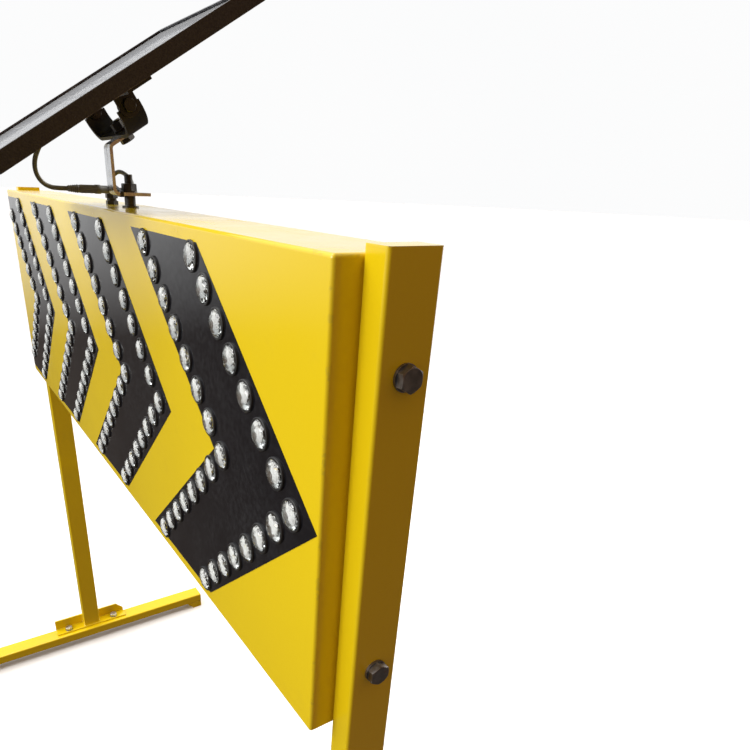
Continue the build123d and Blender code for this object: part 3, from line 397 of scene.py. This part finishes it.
def cell_silicon():
    """Blue-black silicon with crystal flakes, thin fingers across the slope and busbars up it."""
    look = Finish("cell_silicon", Coat_Weight=0.6, Coat_Roughness=0.05)
    flake = look.add("ShaderNodeRGBToBW")
    look.feed(flake, 0, look.cells(120.0, output="Color"))
    colour = look.mix(flake.outputs[0], (0.006, 0.010, 0.040), (0.018, 0.034, 0.110))
    up = look.add("ShaderNodeVectorMath", operation="DOT_PRODUCT")
    look.feed(up, 0, look.where)
    look.feed(up, 1, tuple(SLOPE))
    finger = look.compute("FRACT", look.compute("MULTIPLY", up.outputs["Value"], 1 / FINGER_PITCH))
    finger = look.spread(finger, 0.10, 0.05, 0.0, 0.35)
    colour = look.mix(finger, colour, (0.40, 0.42, 0.46))
    across = look.add("ShaderNodeSeparateXYZ")
    look.feed(across, 0, look.where)
    step = look.compute("MULTIPLY", look.compute("SUBTRACT", across.outputs[0], STUD_X), 1 / BUSBAR_PITCH)
    away = look.compute("ABSOLUTE", look.compute("SUBTRACT", look.compute("FRACT", step), 0.5))
    bar = look.spread(away, 0.026, 0.018)
    colour = look.mix(bar, colour, (0.66, 0.67, 0.69))
    roughness = look.spread(bar, 0.0, 1.0, 0.22, 0.35)
    return look.finish(colour, roughness)


def backsheet():
    """White laminate film: faint creases over the cells, handling marks."""
    look = Finish("backsheet", Specular_IOR_Level=0.45)
    colour = look.mix(look.spread(look.noise(9.0, 5.0), 0.35, 0.7), (0.80, 0.80, 0.78), (0.68, 0.68, 0.66))
    marks = look.compute("MULTIPLY", look.spread(look.noise(26.0, 5.0), 0.55, 0.75), 0.35)
    colour = look.mix(marks, colour, (0.34, 0.34, 0.35))
    normal = look.bump(look.noise(32.0, 3.0), 0.0005)
    normal = look.bump(look.cells(30.0, feature="DISTANCE_TO_EDGE"), 0.0003, after=normal)
    return look.finish(colour, look.spread(look.noise(18.0), 0.3, 0.7, 0.30, 0.5), normal)


def clear(name, tint, **sockets):
    """Clear moulding or glass, with faint smears."""
    look = Finish(name, **sockets)
    brighter = tuple(min(1.0, channel * 1.04) for channel in tint)
    colour = look.mix(look.spread(look.noise(45.0, 3.0), 0.3, 0.7), tint, brighter)
    roughness = look.spread(look.noise(70.0, 4.0), 0.45, 0.8, 0.02, 0.09)
    normal = look.bump(look.noise(160.0, 1.0), 0.00004)
    return look.finish(colour, roughness, normal)


# Metres behind the front where the painted shade deep in each cup starts and ends.
CUP_PAINTED_SHADE = (FRONT + 0.0062, FRONT + 0.0105)


def cup_silver():
    """Bright metallised plastic, with painted shade that turns it dark olive towards the bottom of the cup.
    """
    look = Finish("cup_silver")
    colour = look.mix(look.spread(look.noise(150.0, 3.0), 0.3, 0.7), (0.80, 0.81, 0.80), (0.58, 0.59, 0.58))
    depth = look.add("ShaderNodeSeparateXYZ")
    look.feed(depth, 0, look.where)
    # Painted shade: the cup's colour darkens towards its bottom, deep in the recess.
    colour = look.mix(look.spread(depth.outputs[1], *CUP_PAINTED_SHADE), colour, (0.10, 0.095, 0.06))
    roughness = look.spread(look.noise(240.0, 3.0), 0.35, 0.7, 0.06, 0.22)
    return look.finish(colour, roughness, look.bump(look.noise(420.0), 0.00004), 1.0)


YELLOW = yellow_enamel()
LENS = clear("lens_clear", (0.54, 0.56, 0.55), Transmission_Weight=1.0, IOR=1.49)
CUP = cup_silver()
BLACK_STEEL = steel("black_steel", (0.035, 0.034, 0.033), (0.085, 0.083, 0.080), (0.30, 0.5), 0.03)
JACKET = plastic("cable_jacket", (0.135, 0.135, 0.105), (0.205, 0.205, 0.165), (0.38, 0.6), 700.0)
BOOT = plastic("connector_grey", (0.16, 0.17, 0.17), (0.24, 0.25, 0.25), (0.4, 0.6))
ZINC_DARK = steel("zinc_dark", (0.13, 0.13, 0.135), (0.30, 0.30, 0.31), (0.28, 0.5), 0.06)
ZINC_BRIGHT = steel("zinc_bright", (0.48, 0.48, 0.49), (0.70, 0.70, 0.71), (0.22, 0.42), 0.02)


def dress(material, *names):
    """Gives CAD nodes a material. A name also stands for the nodes that are named after it."""
    for node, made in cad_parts.items():
        if any(node == name or node.startswith(name + "_") for name in names):
            for material_slot in made.material_slots:
                material_slot.material = material


dress(YELLOW, "cabinet_shell", "access_panel", "post", "foot_bar", "foot_angle", "foot_tabs",
      "end_plates", "rear_frame")
dress(film_black(), "chevron_film")
dress(plastic("bezel_black", (0.012, 0.012, 0.012), (0.03, 0.03, 0.03), (0.3, 0.5)), "lamp_bezels")
dress(plastic("gasket_rubber", (0.010, 0.010, 0.010), (0.022, 0.022, 0.022), (0.7, 0.9)), "panel_gasket")
dress(steel("panel_screw_steel", (0.17, 0.17, 0.17), (0.36, 0.36, 0.37), (0.25, 0.45), 0.02), "access_screws")
dress(ZINC_DARK, "cabinet_bolts", "cabinet_nuts", "flat_washers")
dress(ZINC_BRIGHT, "foot_bolts", "foot_nuts", "switch_body", "switch_lever")
dress(BLACK_STEEL, "swivel_stud", "swivel_nuts", "swivel_bush", "yoke_bolt", "tilt_bolts")
dress(galvanised(), "solar_strap", "battery_tray")
dress(black_coat(), "solar_yoke", "cross_rail")
dress(anodised(), "solar_frame")
dress(cell_silicon(), "solar_cells")
dress(backsheet(), "solar_backsheet")
dress(clear("panel_glass", (0.03, 0.04, 0.06), Alpha=0.32, Coat_Weight=1.0, IOR=1.5), "solar_glass")
dress(plastic("junction_plastic", (0.010, 0.010, 0.011), (0.028, 0.028, 0.03), (0.35, 0.55), 600.0),
      "junction_box")
dress(plastic("tie_nylon", (0.012, 0.012, 0.012), (0.03, 0.03, 0.03), (0.35, 0.5)), "cable_tie")
dress(plastic("gland_plastic", (0.012, 0.012, 0.013), (0.035, 0.035, 0.037), (0.3, 0.5)), "cable_gland")
dress(plastic("circuit_board", (0.010, 0.10, 0.035), (0.018, 0.15, 0.055), (0.3, 0.45), 400.0), "led_boards")
dress(plastic("led_emitter", (0.80, 0.62, 0.12), (0.90, 0.75, 0.22), (0.2, 0.3)), "led_chips")
dress(plastic("standoff_nylon", (0.62, 0.61, 0.56), (0.74, 0.73, 0.68)), "board_standoffs")
dress(plastic("battery_case", (0.02, 0.02, 0.024), (0.05, 0.05, 0.056)), "battery")
dress(plastic("band_webbing", (0.015, 0.015, 0.015), (0.05, 0.05, 0.05), (0.7, 0.9), 1500.0, 0.0002),
      "battery_band")
dress(plastic("controller_plastic", (0.06, 0.065, 0.075), (0.12, 0.13, 0.15)), "controller")
dress(plastic("duct_plastic", (0.42, 0.43, 0.44), (0.55, 0.56, 0.57)), "wiring_duct")


# ---- lamps -------------------------------------------------------------------------------

CHEVRONS = 4
CHEVRON_PITCH = 0.306
ROW_STEPS = 7
ROW_X = (0.468, 0.600)
STEP_X = 0.0267
STEP_Z = 0.0249
ROW_Z = TOP - 0.200
END_MARGIN = 0.018
LENS_TURN = 0.37

# Profiles are (distance out of the cabinet's front, radius).
LENS_PROFILE = [(-0.0008, 0.0), (-0.0008, 0.0122), (0.0022, 0.0123), (0.0034, 0.0112),
                (0.0050, 0.0082), (0.0060, 0.0042), (0.0063, 0.0)]
CUP_PROFILE = [(-0.0013, 0.0119), (-0.0048, 0.0101), (-0.0098, 0.0070), (-0.0150, 0.0037),
               (-0.0154, 0.0041), (-0.0102, 0.0075), (-0.0050, 0.0107), (-0.0013, 0.0119)]
LENS_SIDES = 11
CUP_SIDES = 8


def lamp_places(chevron):
    """Each lamp of a chevron: its own Z points out of the cabinet's front."""
    shift = (chevron - CHEVRONS) * CHEVRON_PITCH
    places = []
    for vertex in ROW_X:
        for step in range(-ROW_STEPS, ROW_STEPS + 1):
            x = vertex + shift - STEP_X * abs(step)
            if x > END_MARGIN - END:
                place = Matrix.Translation((x, FRONT, ROW_Z + STEP_Z * step))
                turn = Matrix.Rotation(step * LENS_TURN + vertex, 4, "Z")
                places.append(place @ (Matrix.Rotation(math.pi / 2, 4, "X") @ turn))
    return places


def add_lamps():
    """Cut-glass lenses over faceted silver cups."""
    lens = lathe(LENS_PROFILE, LENS_SIDES, diamond=True)
    every = []
    for chevron in range(1, CHEVRONS + 1):
        places = lamp_places(chevron)
        every += places
        verts, faces = repeated(lens, places)
        lenses = piece(f"cut_lenses_{chevron}", verts, faces, LENS, "root", "lens_clear", smooth=False)
        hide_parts(f"lamp_lenses_{chevron}")
    verts, faces = repeated(lathe(CUP_PROFILE, CUP_SIDES), every)
    cups = piece("silver_cups", verts, faces, CUP, "root", "reflector_silver", smooth=False)
    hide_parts("lamp_reflectors")


add_lamps()


# ---- cables ------------------------------------------------------------------------------

CABLE_DIAMETER = 0.0055

PANEL_CABLE_ROUTE = [
    on_slope(45.0, 21.0, 53.0),
    on_slope(45.0, -8.0, 53.0),
    on_slope(41.0, -38.0, 51.5),
    above(30.0, -84.0, 91.0),
    above(16.0, -103.0, 69.0),
    above(6.0, -109.5, 55.0),
    above(-2.0, -111.0, 43.5),
    above(-10.0, -108.0, 33.0),
    above(-16.5, -101.0, 24.8),
    above(-20.0, -91.5, 20.6),
    above(-21.0, -81.5, 20.0),
    above(-21.0, -72.0, 20.0),
]

CABINET_CABLE_ROUTE = [
    above(-21.0, -10.0, 20.0),
    above(-21.0, -2.0, 20.0),
    above(-23.5, 6.0, 20.7),
    above(-29.0, 12.5, 23.3),
    above(-37.0, 16.0, 28.0),
    above(-46.5, 16.5, 33.5),
    above(-57.0, 14.0, 39.0),
    above(-67.0, 9.5, 42.5),
    above(-75.5, 4.8, 39.8),
    above(-81.6, 1.5, 33.6),
    above(-85.0, 0.0, 25.6),
    above(-85.0, 0.0, 18.0),
]


def spline_curve(route, radius):
    """A curve object of one NURBS spline through the route's control points."""
    data = bpy.data.curves.new("route", "CURVE")
    data.dimensions = "3D"
    data.bevel_depth = radius
    data.bevel_resolution = 5
    data.use_fill_caps = radius > 0
    data.resolution_u = 12
    spline = data.splines.new("NURBS")
    spline.points.add(len(route) - 1)
    for point, place in zip(spline.points, route):
        point.co = (*place, 1.0)
    spline.order_u = 3
    spline.use_endpoint_u = True
    return show(bpy.data.objects.new("route", data))


def as_mesh(curve):
    """The curve's mesh; the curve itself is then removed."""
    bpy.context.view_layer.update()
    mesh = bpy.data.meshes.new_from_object(curve.evaluated_get(bpy.context.evaluated_depsgraph_get()))
    bpy.data.objects.remove(curve)
    return mesh


def cable(name, route, node):
    """A cable along the route, with the line that it follows and its length."""
    line = [vert.co.copy() for vert in as_mesh(spline_curve(route, 0.0)).vertices]
    length = sum((after - before).length for before, after in zip(line, line[1:]))
    mesh = as_mesh(spline_curve(route, CABLE_DIAMETER / 2))
    mesh.name = name
    mesh.materials.clear()
    mesh.materials.append(JACKET)
    for polygon in mesh.polygons:
        polygon.use_smooth = True
    made = show(bpy.data.objects.new(name, mesh))
    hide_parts(node)
    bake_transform(made)
    return made, line, length


# The plug's profile is (distance from the panel cable's end, radius).
RIB_SLOPE = 0.0002
RIB_WIDTH = 0.0015
RIB_HEIGHT = 0.0005
PLUG_BODY = [(0.0150, 0.0047), (0.0160, 0.0050), (0.0335, 0.0050), (0.0340, 0.0055),
             (0.0405, 0.0055), (0.0410, 0.0047), (0.0495, 0.0047)]
PLUG_LENGTH = 0.0620
PLUG_NECK = 0.0033
PLUG_SIDES = 40


def ribs(count, start, pitch, radius, growth):
    """The profile of a boot's ribs, where growth is how much each foot's radius gains on the last."""
    profile = []
    for rib in range(count):
        low = start + rib * pitch
        foot = radius + rib * growth
        profile += [(low, foot), (low + RIB_SLOPE, foot + RIB_HEIGHT),
                    (low + RIB_WIDTH - RIB_SLOPE, foot + RIB_HEIGHT), (low + RIB_WIDTH, foot)]
    return profile


def connector():
    """Moulded plug and socket with ribbed boots, from the panel cable's end."""
    profile = [(0.0, 0.0), (0.0, PLUG_NECK)]
    profile += ribs(5, start=0.0012, pitch=0.0025, radius=0.0034, growth=0.00026)
    profile += PLUG_BODY
    profile += ribs(4, start=0.0506, pitch=0.0026, radius=0.0038, growth=-0.00028)
    profile += [(PLUG_LENGTH, PLUG_NECK), (PLUG_LENGTH, 0.0)]
    place = Matrix.Translation(PANEL_CABLE_ROUTE[-1]) @ Matrix.Rotation(-math.pi / 2, 4, "X")
    shape = repeated(lathe(profile, PLUG_SIDES), [place])
    made = piece("plug_and_socket", *shape, BOOT, "swivel", "connector_grey")
    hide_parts("inline_connector")
    return made


def add_cables():
    """The panel's cable, the connector that the strap carries, and the cable into the cabinet."""
    plug = connector()
    made, line, length = cable("panel_lead", PANEL_CABLE_ROUTE, "panel_cable")
    made, line, length = cable("cabinet_lead", CABINET_CABLE_ROUTE, "cabinet_cable")


add_cables()


# ---- welds and thread --------------------------------------------------------------------

WELD_RADIUS = 0.0017
WELD_STEP = 0.0015
WELD_SIDES = 10
WELD_RIPPLE = 0.16
WELD_WAVES = (2.4, 0.7)
WELD_END = 0.45
PAD_INNER_EDGE = 0.0455
BAR_EDGE = 0.003


def bead(points, seed):
    """A round bead through points, with uneven ripples and narrow ends."""
    verts = []
    last = len(points) - 1
    for number, point in enumerate(points):
        ahead = points[min(number + 1, last)] - points[max(number - 1, 0)]
        turn = ahead.to_track_quat("Z", "Y").to_matrix()
        fast, slow = [number * wave + seed for wave in WELD_WAVES]
        size = WELD_RADIUS * (1 + WELD_RIPPLE * math.sin(fast) * math.cos(slow))
        if number in (0, last):
            size *= WELD_END
        for side in range(WELD_SIDES):
            angle = 2 * math.pi * side / WELD_SIDES
            verts.append(point + turn @ Vector((size * math.cos(angle), size * math.sin(angle), 0)))
    return verts, capped_skin(len(points), WELD_SIDES)


def weld(start, end, seed):
    """A bead along a straight run."""
    start, end = Vector(start), Vector(end)
    count = max(2, int((end - start).length / WELD_STEP))
    return bead([start.lerp(end, step / count) for step in range(count)] + [end], seed)


def add_welds():
    """Beads where each post meets its angle, and where the pads meet the foot bars."""
    shapes = []
    for seed, name in enumerate(("left", "right")):
        low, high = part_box(f"post_{name}")
        inner_x = min(low[0], high[0], key=abs)
        outer_x = max(low[0], high[0], key=abs)
        z = low[2]
        shapes.append(weld((low[0], low[1], z), (high[0], low[1], z), seed))
        shapes.append(weld((low[0], high[1], z), (high[0], high[1], z), seed + 5))
        shapes.append(weld((inner_x, low[1], z), (inner_x, high[1], z), seed + 9))
        angle_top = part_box(f"foot_angle_{name}")[1][2]
        for y in (low[1], high[1]):
            shapes.append(weld((outer_x, y, z), (outer_x, y, angle_top), seed + 3))
        bar_low, bar_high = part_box(f"foot_bar_{name}")
        from_x, to_x, under = bar_low[0] + BAR_EDGE, bar_high[0] - BAR_EDGE, bar_low[2]
        for y in (bar_low[1] + PAD_INNER_EDGE, bar_high[1] - PAD_INNER_EDGE):
            shapes.append(weld((from_x, y, under), (to_x, y, under), seed + 7))
    verts, faces = joined(shapes)
    piece("weld_beads", verts, faces, YELLOW, "root", "yellow_enamel")


THREAD_RADIUS = 0.00535
THREAD_DEPTH = 0.0007
THREAD_PITCH = 0.0015
THREAD_SIDES = 28
ROWS_PER_TURN = 8
THREAD_FOOT = 28.0  # millimetres over the cabinet, just inside the top nut
STUD_CHAMFER = 0.0004


def thread(length):
    """A screw thread's skin about Z."""
    rows = int(length / THREAD_PITCH * ROWS_PER_TURN)
    verts = []
    for row in range(rows + 1):
        height = length * row / rows
        for side in range(THREAD_SIDES):
            phase = (height / THREAD_PITCH - side / THREAD_SIDES) % 1.0
            wave = 1 - abs(2 * phase - 1)
            angle = 2 * math.pi * side / THREAD_SIDES
            size = THREAD_RADIUS - THREAD_DEPTH + THREAD_DEPTH * wave
            verts.append(Vector((size * math.cos(angle), size * math.sin(angle), height)))
    return verts, capped_skin(rows + 1, THREAD_SIDES)


def add_thread():
    """The stud's bare end over its nut."""
    low = above(0, 0, THREAD_FOOT)
    shape = repeated(thread(STUD_HIGH[2] - low[2] - STUD_CHAMFER), [Matrix.Translation(low)])
    piece("stud_thread", *shape, BLACK_STEEL, "root", "black_steel")


add_welds()
add_thread()


# ---- floor and light ---------------------------------------------------------------------

STAGE_HALF = 60.0
STAGE_SIDES = 32


def floor_finish():
    """Pale matt floor, hardly mottled."""
    look = Finish("floor", Specular_IOR_Level=0.2)
    colour = look.mix(look.noise(0.7, 2.0), (0.93, 0.93, 0.925), (0.96, 0.96, 0.96))
    return look.finish(colour, look.spread(look.noise(30.0), 0.0, 1.0, 0.75, 0.9))


def backdrop_finish():
    """Near-white glow, hardly mottled."""
    look = Finish("backdrop", Emission_Strength=1.0, Base_Color=(0.0, 0.0, 0.0, 1.0), Specular_IOR_Level=0.0)
    glow = look.mix(look.noise(0.05, 1.0), (0.96, 0.965, 0.97), (0.98, 0.98, 0.98))
    look.feed(look.shader, "Emission Color", glow)
    return look.material


def set_stage(name, verts, faces, material):
    """A stage piece that the camera sees, and that neither lights the board nor mirrors in it."""
    mesh = bpy.data.meshes.new(name)
    mesh.from_pydata(verts, [], faces)
    mesh.materials.append(material)
    made = show(bpy.data.objects.new(name, mesh))
    made.visible_diffuse = False
    made.visible_glossy = False
    return made


def add_floor_and_backdrop():
    """A pale floor, out to a wall and a roof that glow white."""
    half = STAGE_HALF
    corners = [(-half, -half, 0), (half, -half, 0), (half, half, 0), (-half, half, 0)]
    set_stage("floor", corners, [(0, 1, 2, 3)], floor_finish())
    ring = [2 * math.pi * step / STAGE_SIDES for step in range(STAGE_SIDES)]
    low = [(half * math.cos(angle), half * math.sin(angle), 0.0) for angle in ring]
    high = [(x, y, half) for x, y, _ in low]
    around = []
    for side in range(STAGE_SIDES):
        after = (side + 1) % STAGE_SIDES
        around.append((side, after, after + STAGE_SIDES, side + STAGE_SIDES))
    roof = tuple(range(STAGE_SIDES, 2 * STAGE_SIDES))
    wall = set_stage("backdrop", low + high, around + [roof], backdrop_finish())
    wall.visible_shadow = False
    wall.visible_transmission = False


LIGHT_SIZE = 2.0
LIGHT_AIM = Vector((0.0, 0.0, 1.0))


def area_light(name, place, power, colour):
    """A soft round light that faces the board."""
    data = bpy.data.lights.new(name, "AREA")
    data.shape = "DISK"
    data.size = LIGHT_SIZE
    data.energy = power
    data.color = colour
    light = show(bpy.data.objects.new(name, data))
    light.location = place
    light.rotation_euler = (LIGHT_AIM - Vector(place)).to_track_quat("-Z", "Y").to_euler()


# A fade is where a direction's X or Z starts and ends a shade, and how much of the shade is there.
WORLD_WHITE = (0.95, 0.955, 0.96)
WORLD_DIM = (0.30, 0.155, 0.07)
WORLD_LOW = (0.095, 0.076, 0.064)
WORLD_END_FADE = (0.05, 0.55, 0.0, 1.0)
WORLD_LOW_FADE = (-0.03, -0.22, 0.0, 1.0)


def add_world():
    """White surroundings, dim and warm past the board's near end and under the horizon."""
    world = bpy.data.worlds.new("studio")
    world.use_nodes = True
    tree = world.node_tree
    where = tree.nodes.new("ShaderNodeTexCoord")
    split = tree.nodes.new("ShaderNodeSeparateXYZ")
    tree.links.new(where.outputs["Generated"], split.inputs[0])
    shade = (*WORLD_WHITE, 1.0)
    for axis, fade, colour in ((0, WORLD_END_FADE, WORLD_DIM), (2, WORLD_LOW_FADE, WORLD_LOW)):
        amount = tree.nodes.new("ShaderNodeMapRange")
        tree.links.new(split.outputs[axis], amount.inputs[0])
        for socket, value in zip(range(1, 5), fade):
            amount.inputs[socket].default_value = value
        tint = tree.nodes.new("ShaderNodeMix")
        tint.data_type = "RGBA"
        tree.links.new(amount.outputs[0], tint.inputs[0])
        if isinstance(shade, tuple):
            tint.inputs[6].default_value = shade
        else:
            tree.links.new(shade, tint.inputs[6])
        tint.inputs[7].default_value = (*colour, 1.0)
        shade = tint.outputs[2]
    tree.links.new(shade, tree.nodes["Background"].inputs["Color"])
    bpy.context.scene.world = world


SUN_FROM = (-0.55, -0.35, 1.0)
SUN_SPREAD = 50.0
SUN_POWER = 1.6


def add_sun():
    """A very soft sun that keeps the floor white out to the horizon."""
    data = bpy.data.lights.new("sun", "SUN")
    data.angle = math.radians(SUN_SPREAD)
    data.energy = SUN_POWER
    sun = show(bpy.data.objects.new("sun", data))
    sun.rotation_euler = Vector(SUN_FROM).to_track_quat("Z", "Y").to_euler()


add_floor_and_backdrop()
add_world()
add_sun()
area_light("key", (0.0, -3.2, 2.4), 84.0, (1.0, 1.0, 1.0))
area_light("back", (-0.6, 3.2, 2.4), 70.0, (1.0, 0.93, 0.82))
bpy.context.scene.view_settings.view_transform = "Standard"
